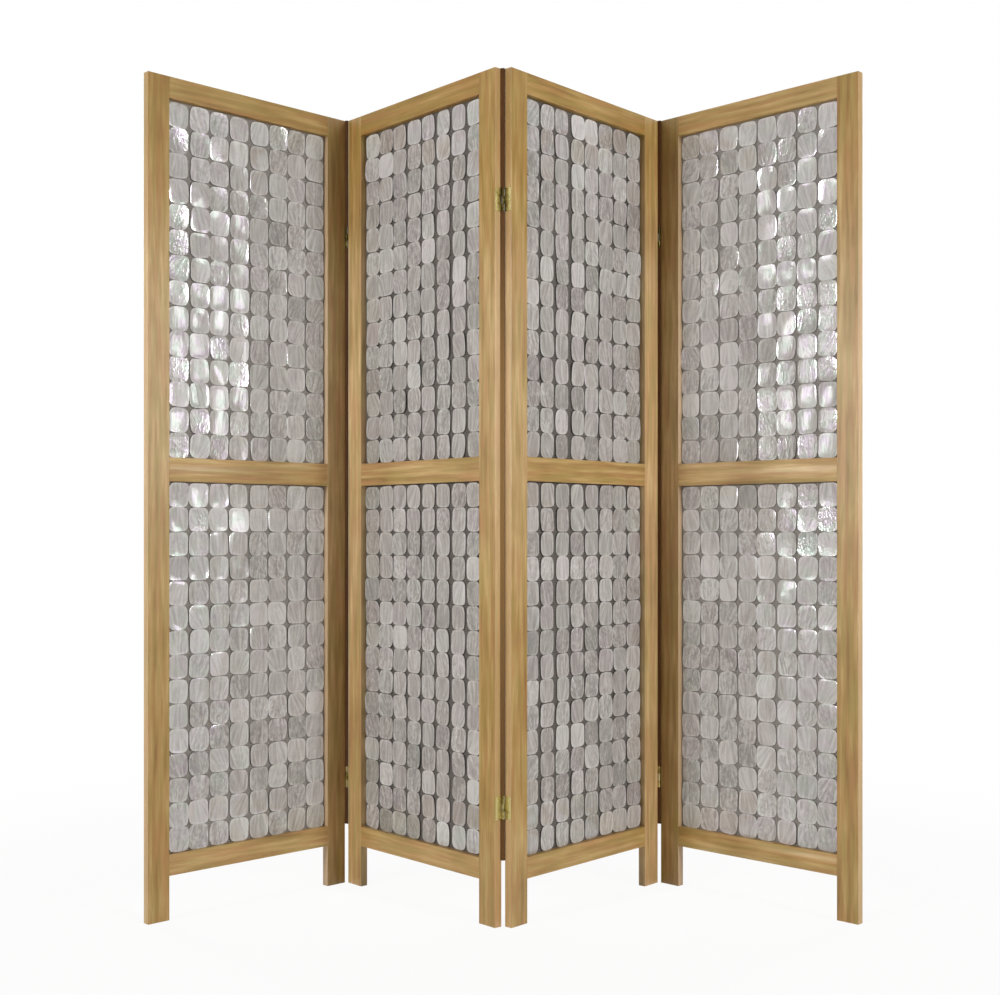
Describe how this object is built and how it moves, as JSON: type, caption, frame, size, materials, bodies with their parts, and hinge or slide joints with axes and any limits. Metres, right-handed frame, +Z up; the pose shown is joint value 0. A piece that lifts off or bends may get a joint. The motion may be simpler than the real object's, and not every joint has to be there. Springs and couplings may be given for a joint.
{
  "type": "capiz shell folding screen",
  "caption": "Free-standing wooden folding screen whose hinged panels fold in a zigzag, each framing rows of pearly capiz shell chips above and below a mid rail.",
  "frame": {"origin": "on the floor, at the middle of the standing screen's outline seen from above", "axes": "+Z up, +X to the right and +Y away from the viewer, who faces the front of the zigzag"},
  "size_m": [1.547, 0.4083, 1.83],
  "materials": {
    "stained_wood": "stained and oiled, satin",
    "dark_wood": "dark stained, matt",
    "capiz_shell": "natural pearly lustre",
    "scrim_cloth": "plain open weave",
    "hinge_brass": "aged satin",
    "pin_steel": "drawn wire"
  },
  "bodies": {
    "panel_1": {"panel_1_left_stile": "stained_wood", "panel_1_right_stile": "stained_wood", "panel_1_top_rail": "stained_wood", "panel_1_mid_rail": "stained_wood", "panel_1_bottom_rail": "stained_wood", "panel_1_upper_scrim": "scrim_cloth", "panel_1_lower_scrim": "scrim_cloth", "panel_1_upper_shells": "capiz_shell", "panel_1_lower_shells": "capiz_shell", "panel_1_beads": "stained_wood", "hinge_12_upper_left_leaf": "hinge_brass", "hinge_12_lower_left_leaf": "hinge_brass", "hinge_12_pins": "pin_steel", "closing_strip_12": "dark_wood"},
    "panel_2": {"panel_2_left_stile": "stained_wood", "panel_2_right_stile": "stained_wood", "panel_2_top_rail": "stained_wood", "panel_2_mid_rail": "stained_wood", "panel_2_bottom_rail": "stained_wood", "panel_2_upper_scrim": "scrim_cloth", "panel_2_lower_scrim": "scrim_cloth", "panel_2_upper_shells": "capiz_shell", "panel_2_lower_shells": "capiz_shell", "panel_2_beads": "stained_wood", "hinge_12_upper_right_leaf": "hinge_brass", "hinge_12_lower_right_leaf": "hinge_brass", "hinge_23_upper_left_leaf": "hinge_brass", "hinge_23_lower_left_leaf": "hinge_brass", "hinge_23_pins": "pin_steel", "closing_strip_23": "dark_wood"},
    "panel_3": {"panel_3_left_stile": "stained_wood", "panel_3_right_stile": "stained_wood", "panel_3_top_rail": "stained_wood", "panel_3_mid_rail": "stained_wood", "panel_3_bottom_rail": "stained_wood", "panel_3_upper_scrim": "scrim_cloth", "panel_3_lower_scrim": "scrim_cloth", "panel_3_upper_shells": "capiz_shell", "panel_3_lower_shells": "capiz_shell", "panel_3_beads": "stained_wood", "hinge_23_upper_right_leaf": "hinge_brass", "hinge_23_lower_right_leaf": "hinge_brass", "hinge_34_upper_left_leaf": "hinge_brass", "hinge_34_lower_left_leaf": "hinge_brass", "hinge_34_pins": "pin_steel", "closing_strip_34": "dark_wood"},
    "panel_4": {"panel_4_left_stile": "stained_wood", "panel_4_right_stile": "stained_wood", "panel_4_top_rail": "stained_wood", "panel_4_mid_rail": "stained_wood", "panel_4_bottom_rail": "stained_wood", "panel_4_upper_scrim": "scrim_cloth", "panel_4_lower_scrim": "scrim_cloth", "panel_4_upper_shells": "capiz_shell", "panel_4_lower_shells": "capiz_shell", "panel_4_beads": "stained_wood", "hinge_34_upper_right_leaf": "hinge_brass", "hinge_34_lower_right_leaf": "hinge_brass"}
  },
  "joints": [
    {"name": "fold_12", "type": "hinge", "parent": "panel_2", "child": "panel_1", "pos_m": [-0.37582, 0.19017, 0], "axis": [0, 0, 1], "range_deg": [-92, 88]},
    {"name": "fold_23", "type": "hinge", "parent": "panel_2", "child": "panel_3", "pos_m": [0, -0.19135, 0], "axis": [0, 0, 1], "range_deg": [-96, 84]},
    {"name": "fold_34", "type": "hinge", "parent": "panel_3", "child": "panel_4", "pos_m": [0.37582, 0.19017, 0], "axis": [0, 0, -1], "range_deg": [-92, 88]}
  ]
}
